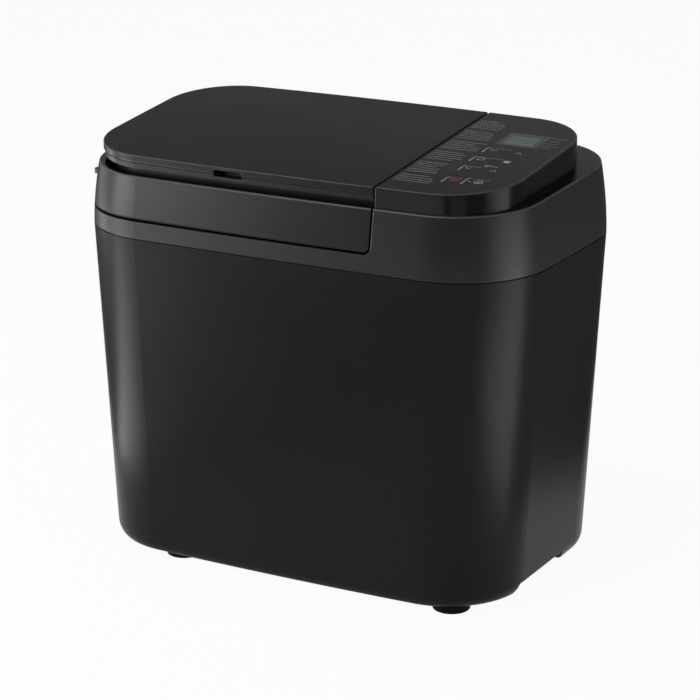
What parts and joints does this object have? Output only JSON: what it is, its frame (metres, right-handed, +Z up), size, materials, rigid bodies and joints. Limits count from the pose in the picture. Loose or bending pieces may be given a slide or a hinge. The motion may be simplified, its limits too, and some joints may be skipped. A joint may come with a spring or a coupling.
{
  "type": "bread machine",
  "caption": "Countertop bread machine: tapered case, hinged lid with ingredient dispenser, sloping key panel, lift-out pan with folding handle, belt-driven kneading blade.",
  "frame": {"origin": "on the floor, under the middle of the body's outline", "axes": "+X to the right along the long front, +Y to the back, +Z up"},
  "size_m": [0.408, 0.2586, 0.3697],
  "materials": {
    "case_plastic": "moulded black, satin",
    "lid_plastic": "moulded black, fine satin",
    "key_plastic": "moulded black, matt",
    "overlay_film": "printed film, semi-gloss",
    "display_glass": "clear window",
    "display_cell": "grey-green liquid crystal cell",
    "base_plastic": "moulded black, matt",
    "rubber": "matt rubber",
    "silicone": "grey silicone",
    "sheet_steel": "rolled sheet",
    "steel": "turned or zinc plated",
    "heater_sheath": "heat-tinted sheath",
    "laminations": "varnished laminations",
    "cast_aluminium": "die cast",
    "bronze": "sintered bronze",
    "nonstick": "non-stick coating on aluminium",
    "pulley_nylon": "natural nylon",
    "circuit_board": "solder mask",
    "component_plastic": "moulded"
  },
  "bodies": {
    "machine": {"outer_case": "case_plastic", "top_band": "case_plastic", "base_plate": "base_plastic", "feet": "rubber", "base_screws": "steel", "drive_frame": "sheet_steel", "frame_screws": "steel", "motor_stator": "laminations", "motor_brackets": "cast_aluminium", "motor_bolts": "steel", "drive_belt": "rubber", "bearing_housing": "cast_aluminium", "bearing_bushes": "bronze", "baking_chamber": "sheet_steel", "heater_element": "heater_sheath", "heater_clips": "sheet_steel", "temperature_sensor": "steel", "pan_seat": "sheet_steel", "panel_housing": "case_plastic", "panel_overlay": "overlay_film", "lcd_window": "display_glass", "lcd_module": "display_cell", "control_board": "circuit_board", "tact_switches": "component_plastic", "board_screws": "steel", "power_board": "circuit_board", "board_components": "component_plastic", "power_board_screws": "steel", "cord_gland": "rubber", "hinge_pins": "steel"},
    "lid": {"lid_shell": "lid_plastic", "lid_inner_plate": "sheet_steel", "lid_gasket": "silicone", "dispenser_box": "base_plastic", "solenoid": "laminations", "lid_screws": "steel", "steam_vent": "base_plastic", "dispenser_hinge_pins": "steel"},
    "dispenser_cover": {"dispenser_lid": "lid_plastic"},
    "flap": {"dispenser_flap": "base_plastic"},
    "plunger": {"solenoid_plunger": "steel"},
    "motor": {"motor_rotor": "steel", "motor_pulley": "pulley_nylon"},
    "drive": {"drive_shaft": "steel", "drive_pulley": "pulley_nylon", "pulley_nut": "steel"},
    "pan": {"bread_pan": "nonstick", "pan_bearing": "cast_aluminium"},
    "handle": {"pan_handle": "steel"},
    "blade": {"pan_shaft": "steel", "kneading_blade": "nonstick"},
    "menu_down_key": {"menu_down_key": "key_plastic"},
    "menu_up_key": {"menu_up_key": "key_plastic"},
    "size_key": {"size_key": "key_plastic"},
    "crust_key": {"crust_key": "key_plastic"},
    "timer_down_key": {"timer_down_key": "key_plastic"},
    "timer_up_key": {"timer_up_key": "key_plastic"},
    "stop_key": {"stop_key": "key_plastic"},
    "start_key": {"start_key": "key_plastic"}
  },
  "joints": [
    {"name": "lid_hinge", "type": "hinge", "parent": "machine", "child": "lid", "pos_m": [0, 0.096, 0.349], "axis": [-1, 0, 0], "range_deg": [0, 100]},
    {"name": "dispenser_cover_hinge", "type": "hinge", "parent": "lid", "child": "dispenser_cover", "pos_m": [0, 0.089, 0.359], "axis": [-1, 0, 0], "range_deg": [0, 70]},
    {"name": "flap_hinge", "type": "hinge", "parent": "lid", "child": "flap", "pos_m": [0, -0.008, 0.301], "axis": [1, 0, 0], "range_deg": [0, 80]},
    {"name": "plunger_slide", "type": "slide", "parent": "lid", "child": "plunger", "axis": [0, 0, -1], "range_m": [0, 0.006]},
    {"name": "motor_spin", "type": "hinge", "parent": "machine", "child": "motor", "pos_m": [0.122, -0.018, 0.074], "axis": [0, 0, 1], "continuous": true},
    {"name": "drive_spin", "type": "hinge", "parent": "machine", "child": "drive", "pos_m": [-0.058, -0.018, 0.054], "axis": [0, 0, 1], "continuous": true},
    {"name": "pan_lift", "type": "slide", "parent": "machine", "child": "pan", "axis": [0, 0, 1], "range_m": [0, 0.008]},
    {"name": "handle_fold", "type": "hinge", "parent": "pan", "child": "handle", "pos_m": [-0.058, -0.018, 0.235], "axis": [-1, 0, 0], "range_deg": [0, 180]},
    {"name": "blade_spin", "type": "hinge", "parent": "pan", "child": "blade", "pos_m": [-0.058, -0.018, 0.114], "axis": [0, 0, 1], "continuous": true},
    {"name": "menu_down_key_press", "type": "slide", "parent": "machine", "child": "menu_down_key", "axis": [0, 0.1002, -0.995], "range_m": [0, 0.0008], "stiffness_N_per_m": 400},
    {"name": "menu_up_key_press", "type": "slide", "parent": "machine", "child": "menu_up_key", "axis": [0, 0.1002, -0.995], "range_m": [0, 0.0008], "stiffness_N_per_m": 400},
    {"name": "size_key_press", "type": "slide", "parent": "machine", "child": "size_key", "axis": [0, 0.1002, -0.995], "range_m": [0, 0.0008], "stiffness_N_per_m": 400},
    {"name": "crust_key_press", "type": "slide", "parent": "machine", "child": "crust_key", "axis": [0, 0.1002, -0.995], "range_m": [0, 0.0008], "stiffness_N_per_m": 400},
    {"name": "timer_down_key_press", "type": "slide", "parent": "machine", "child": "timer_down_key", "axis": [0, 0.1002, -0.995], "range_m": [0, 0.0008], "stiffness_N_per_m": 400},
    {"name": "timer_up_key_press", "type": "slide", "parent": "machine", "child": "timer_up_key", "axis": [0, 0.1002, -0.995], "range_m": [0, 0.0008], "stiffness_N_per_m": 400},
    {"name": "stop_key_press", "type": "slide", "parent": "machine", "child": "stop_key", "axis": [0, 0.1002, -0.995], "range_m": [0, 0.0008], "stiffness_N_per_m": 400},
    {"name": "start_key_press", "type": "slide", "parent": "machine", "child": "start_key", "axis": [0, 0.1002, -0.995], "range_m": [0, 0.0008], "stiffness_N_per_m": 400}
  ],
  "couplings": [
    {"joint": "plunger_slide", "follows": "flap_hinge", "m_per_rad": 0.0042972},
    {"joint": "drive_spin", "follows": "motor_spin", "ratio": 0.19565},
    {"joint": "blade_spin", "follows": "motor_spin", "ratio": 0.19565}
  ]
}
